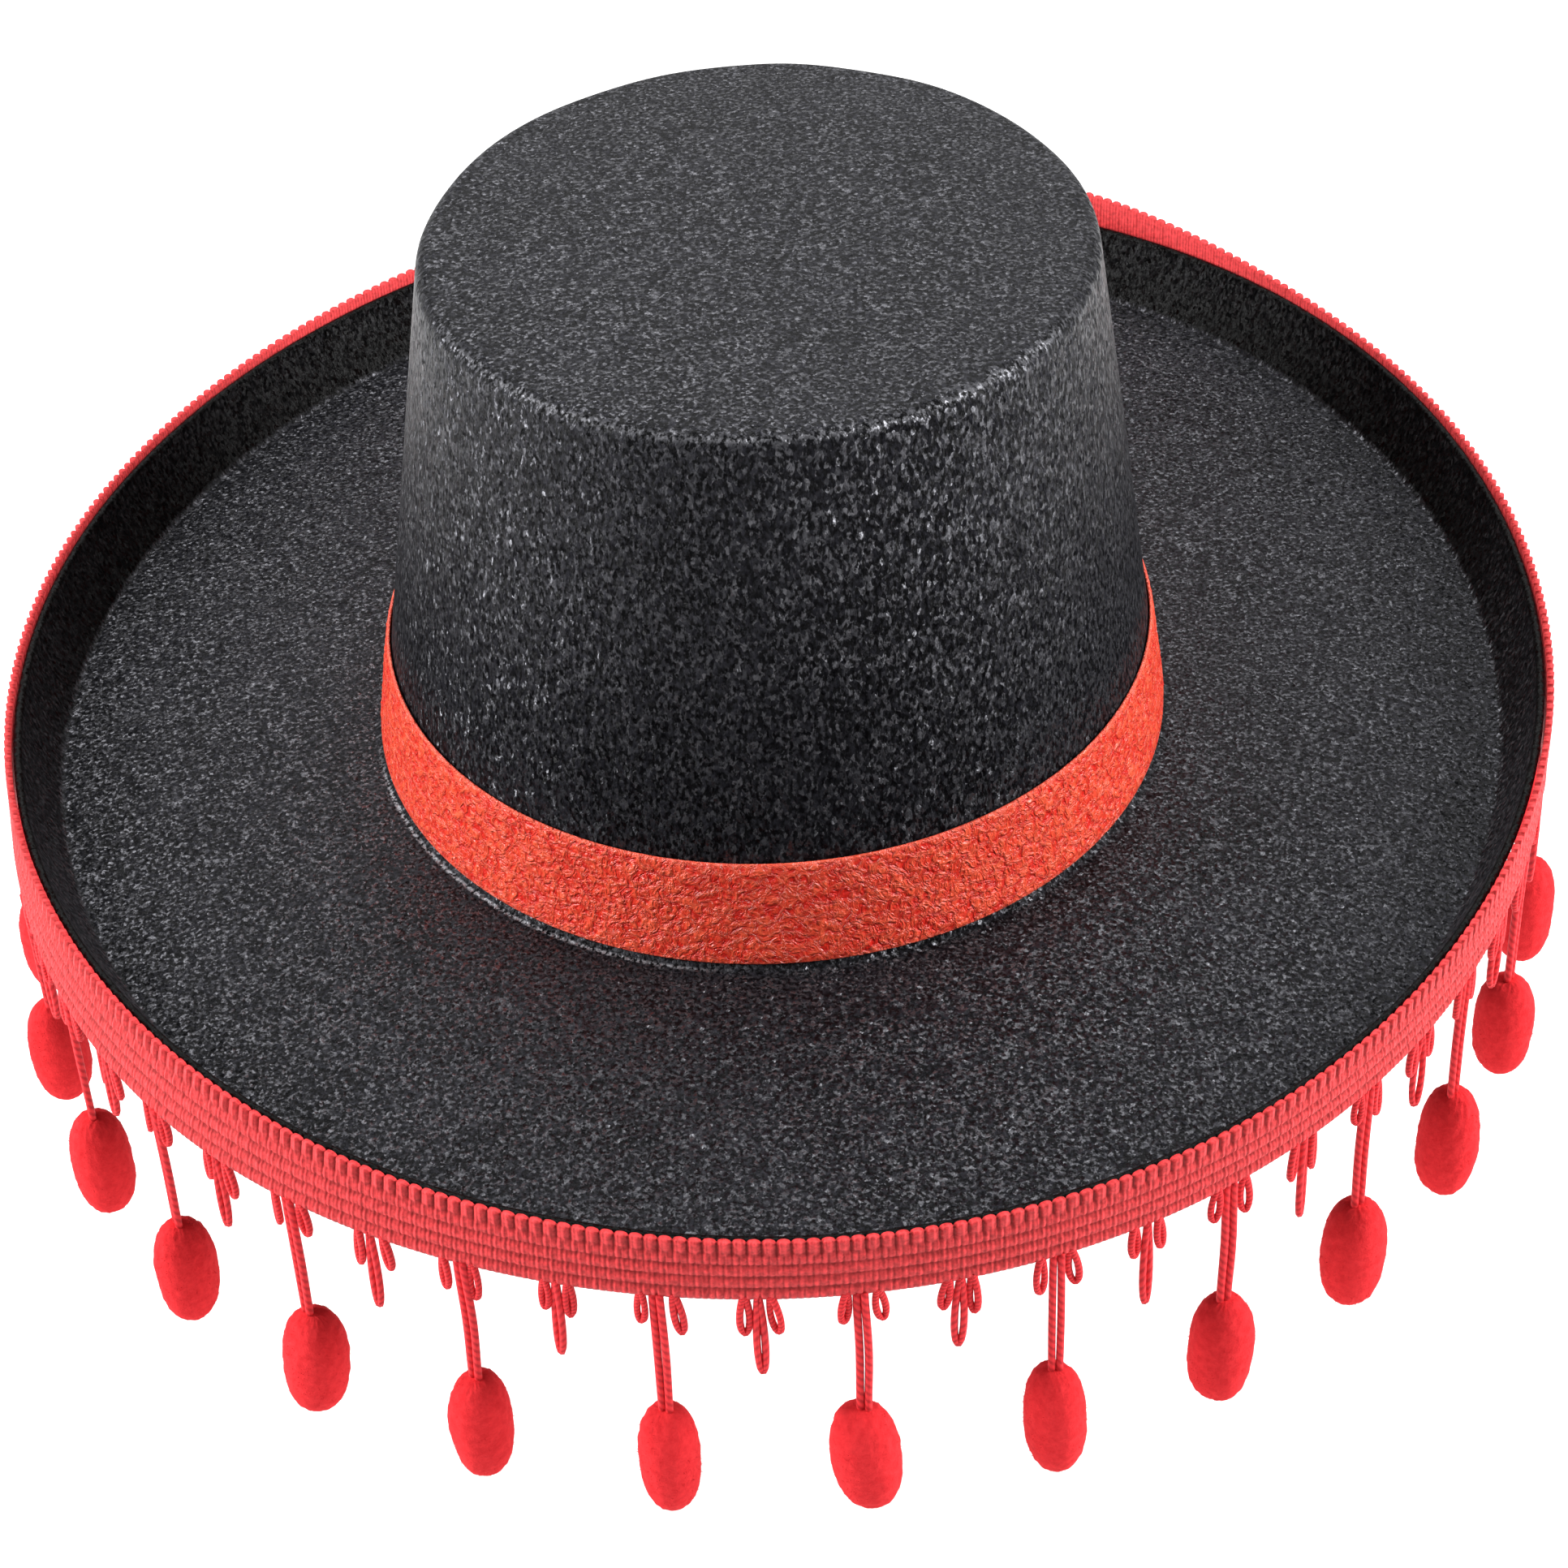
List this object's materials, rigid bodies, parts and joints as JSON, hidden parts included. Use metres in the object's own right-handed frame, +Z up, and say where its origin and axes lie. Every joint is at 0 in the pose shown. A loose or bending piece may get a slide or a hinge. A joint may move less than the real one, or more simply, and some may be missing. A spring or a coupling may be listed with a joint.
{
  "type": "sombrero",
  "caption": "Black pressed-felt hat with a flat tapering crown, wide upturned oval brim, red ribbon and a red braid with swinging pompoms.",
  "frame": {"origin": "centre of the head opening, at the height where the brim's upper side meets the crown", "axes": "+Z up along the crown, the front of the hat faces -Y, +X towards the wearer's left"},
  "size_m": [0.4037, 0.4464, 0.2081],
  "materials": {
    "felt": "matt black pressed felt with a fine pale sparkle",
    "ribbon": "crinkled red-orange satin",
    "sweatband_tape": "black ribbed tape",
    "gimp_braid": "red corded gimp",
    "yarn": "red fluffy yarn"
  },
  "bodies": {
    "hat": {"felt_body": "felt", "hat_band": "ribbon", "sweatband": "sweatband_tape", "braid": "gimp_braid"},
    "pendant_01": {"pompom_01": "yarn"},
    "pendant_02": {"pompom_02": "yarn"},
    "pendant_03": {"pompom_03": "yarn"},
    "pendant_04": {"pompom_04": "yarn"},
    "pendant_05": {"pompom_05": "yarn"},
    "pendant_06": {"pompom_06": "yarn"},
    "pendant_07": {"pompom_07": "yarn"},
    "pendant_08": {"pompom_08": "yarn"},
    "pendant_09": {"pompom_09": "yarn"},
    "pendant_10": {"pompom_10": "yarn"},
    "pendant_11": {"pompom_11": "yarn"},
    "pendant_12": {"pompom_12": "yarn"},
    "pendant_13": {"pompom_13": "yarn"},
    "pendant_14": {"pompom_14": "yarn"},
    "pendant_15": {"pompom_15": "yarn"},
    "pendant_16": {"pompom_16": "yarn"},
    "pendant_17": {"pompom_17": "yarn"},
    "pendant_18": {"pompom_18": "yarn"},
    "pendant_19": {"pompom_19": "yarn"},
    "pendant_20": {"pompom_20": "yarn"},
    "pendant_21": {"pompom_21": "yarn"},
    "pendant_22": {"pompom_22": "yarn"},
    "pendant_23": {"pompom_23": "yarn"},
    "pendant_24": {"pompom_24": "yarn"},
    "pendant_25": {"pompom_25": "yarn"},
    "pendant_26": {"pompom_26": "yarn"},
    "pendant_27": {"pompom_27": "yarn"},
    "pendant_28": {"pompom_28": "yarn"},
    "pendant_29": {"pompom_29": "yarn"},
    "pendant_30": {"pompom_30": "yarn"}
  },
  "joints": [
    {"name": "pompom_01_swing", "type": "hinge", "parent": "hat", "child": "pendant_01", "pos_m": [-0.19201, -0.02017, -0.00453], "axis": [-0.1349, 0.9909, 0], "range_deg": [-30, 90]},
    {"name": "pompom_02_swing", "type": "hinge", "parent": "hat", "child": "pendant_02", "pos_m": [-0.18363, -0.06273, -0.00453], "axis": [-0.3127, 0.9499, 0], "range_deg": [-30, 90]},
    {"name": "pompom_03_swing", "type": "hinge", "parent": "hat", "child": "pendant_03", "pos_m": [-0.16767, -0.10344, -0.00473], "axis": [-0.4861, 0.8739, 0], "range_deg": [-30, 90]},
    {"name": "pompom_04_swing", "type": "hinge", "parent": "hat", "child": "pendant_04", "pos_m": [-0.14328, -0.14001, -0.00516], "axis": [-0.6502, 0.7598, 0], "range_deg": [-30, 90]},
    {"name": "pompom_05_swing", "type": "hinge", "parent": "hat", "child": "pendant_05", "pos_m": [-0.11082, -0.16955, -0.00582], "axis": [-0.7964, 0.6048, 0], "range_deg": [-30, 90]},
    {"name": "pompom_06_swing", "type": "hinge", "parent": "hat", "child": "pendant_06", "pos_m": [-0.07244, -0.19027, -0.00661], "axis": [-0.9123, 0.4096, 0], "range_deg": [-30, 90]},
    {"name": "pompom_07_swing", "type": "hinge", "parent": "hat", "child": "pendant_07", "pos_m": [-0.03071, -0.20176, -0.00737], "axis": [-0.9833, 0.1818, 0], "range_deg": [-30, 90]},
    {"name": "pompom_08_swing", "type": "hinge", "parent": "hat", "child": "pendant_08", "pos_m": [0.0123, -0.20369, -0.0079], "axis": [-0.9981, -0.0621, 0], "range_deg": [-30, 90]},
    {"name": "pompom_09_swing", "type": "hinge", "parent": "hat", "child": "pendant_09", "pos_m": [0.0545, -0.19564, -0.00799], "axis": [-0.9538, -0.3004, 0], "range_deg": [-30, 90]},
    {"name": "pompom_10_swing", "type": "hinge", "parent": "hat", "child": "pendant_10", "pos_m": [0.09365, -0.17798, -0.00754], "axis": [-0.8583, -0.5131, 0], "range_deg": [-30, 90]},
    {"name": "pompom_11_swing", "type": "hinge", "parent": "hat", "child": "pendant_11", "pos_m": [0.12784, -0.15197, -0.00651], "axis": [-0.7253, -0.6884, 0], "range_deg": [-30, 90]},
    {"name": "pompom_12_swing", "type": "hinge", "parent": "hat", "child": "pendant_12", "pos_m": [0.15574, -0.11931, -0.00498], "axis": [-0.5688, -0.8225, 0], "range_deg": [-30, 90]},
    {"name": "pompom_13_swing", "type": "hinge", "parent": "hat", "child": "pendant_13", "pos_m": [0.17661, -0.08175, -0.00311], "axis": [-0.3991, -0.9169, 0], "range_deg": [-30, 90]},
    {"name": "pompom_14_swing", "type": "hinge", "parent": "hat", "child": "pendant_14", "pos_m": [0.19001, -0.04091, -0.00108], "axis": [-0.223, -0.9748, 0], "range_deg": [-30, 90]},
    {"name": "pompom_15_swing", "type": "hinge", "parent": "hat", "child": "pendant_15", "pos_m": [0.19576, 0.00168, 0.00093], "axis": [-0.0443, -0.999, 0], "range_deg": [-30, 90]},
    {"name": "pompom_16_swing", "type": "hinge", "parent": "hat", "child": "pendant_16", "pos_m": [0.19381, 0.04462, 0.00273], "axis": [0.1349, -0.9909, 0], "range_deg": [-30, 90]},
    {"name": "pompom_17_swing", "type": "hinge", "parent": "hat", "child": "pendant_17", "pos_m": [0.18417, 0.0865, 0.0042], "axis": [0.3127, -0.9499, 0], "range_deg": [-30, 90]},
    {"name": "pompom_18_swing", "type": "hinge", "parent": "hat", "child": "pendant_18", "pos_m": [0.16696, 0.12587, 0.0056], "axis": [0.4861, -0.8739, 0], "range_deg": [-30, 90]},
    {"name": "pompom_19_swing", "type": "hinge", "parent": "hat", "child": "pendant_19", "pos_m": [0.14246, 0.16117, 0.00801], "axis": [0.6502, -0.7598, 0], "range_deg": [-30, 90]},
    {"name": "pompom_20_swing", "type": "hinge", "parent": "hat", "child": "pendant_20", "pos_m": [0.11124, 0.19068, 0.01176], "axis": [0.7964, -0.6048, 0], "range_deg": [-30, 90]},
    {"name": "pompom_21_swing", "type": "hinge", "parent": "hat", "child": "pendant_21", "pos_m": [0.07434, 0.21265, 0.01231], "axis": [0.9123, -0.4096, 0], "range_deg": [-30, 90]},
    {"name": "pompom_22_swing", "type": "hinge", "parent": "hat", "child": "pendant_22", "pos_m": [0.03336, 0.22546, 0.0084], "axis": [0.9833, -0.1818, 0], "range_deg": [-30, 90]},
    {"name": "pompom_23_swing", "type": "hinge", "parent": "hat", "child": "pendant_23", "pos_m": [-0.00949, 0.22806, 0.00489], "axis": [0.9981, 0.0621, 0], "range_deg": [-30, 90]},
    {"name": "pompom_24_swing", "type": "hinge", "parent": "hat", "child": "pendant_24", "pos_m": [-0.05169, 0.2202, 0.00228], "axis": [0.9538, 0.3004, 0], "range_deg": [-30, 90]},
    {"name": "pompom_25_swing", "type": "hinge", "parent": "hat", "child": "pendant_25", "pos_m": [-0.09085, 0.20258, -0.00023], "axis": [0.8583, 0.5131, 0], "range_deg": [-30, 90]},
    {"name": "pompom_26_swing", "type": "hinge", "parent": "hat", "child": "pendant_26", "pos_m": [-0.12504, 0.17657, -0.00238], "axis": [0.7253, 0.6884, 0], "range_deg": [-30, 90]},
    {"name": "pompom_27_swing", "type": "hinge", "parent": "hat", "child": "pendant_27", "pos_m": [-0.15295, 0.14391, -0.00383], "axis": [0.5688, 0.8225, 0], "range_deg": [-30, 90]},
    {"name": "pompom_28_swing", "type": "hinge", "parent": "hat", "child": "pendant_28", "pos_m": [-0.17381, 0.10635, -0.00454], "axis": [0.3991, 0.9169, 0], "range_deg": [-30, 90]},
    {"name": "pompom_29_swing", "type": "hinge", "parent": "hat", "child": "pendant_29", "pos_m": [-0.18727, 0.06553, -0.00471], "axis": [0.223, 0.9748, 0], "range_deg": [-30, 90]},
    {"name": "pompom_30_swing", "type": "hinge", "parent": "hat", "child": "pendant_30", "pos_m": [-0.19327, 0.02294, -0.00463], "axis": [0.0443, 0.999, 0], "range_deg": [-30, 90]}
  ]
}
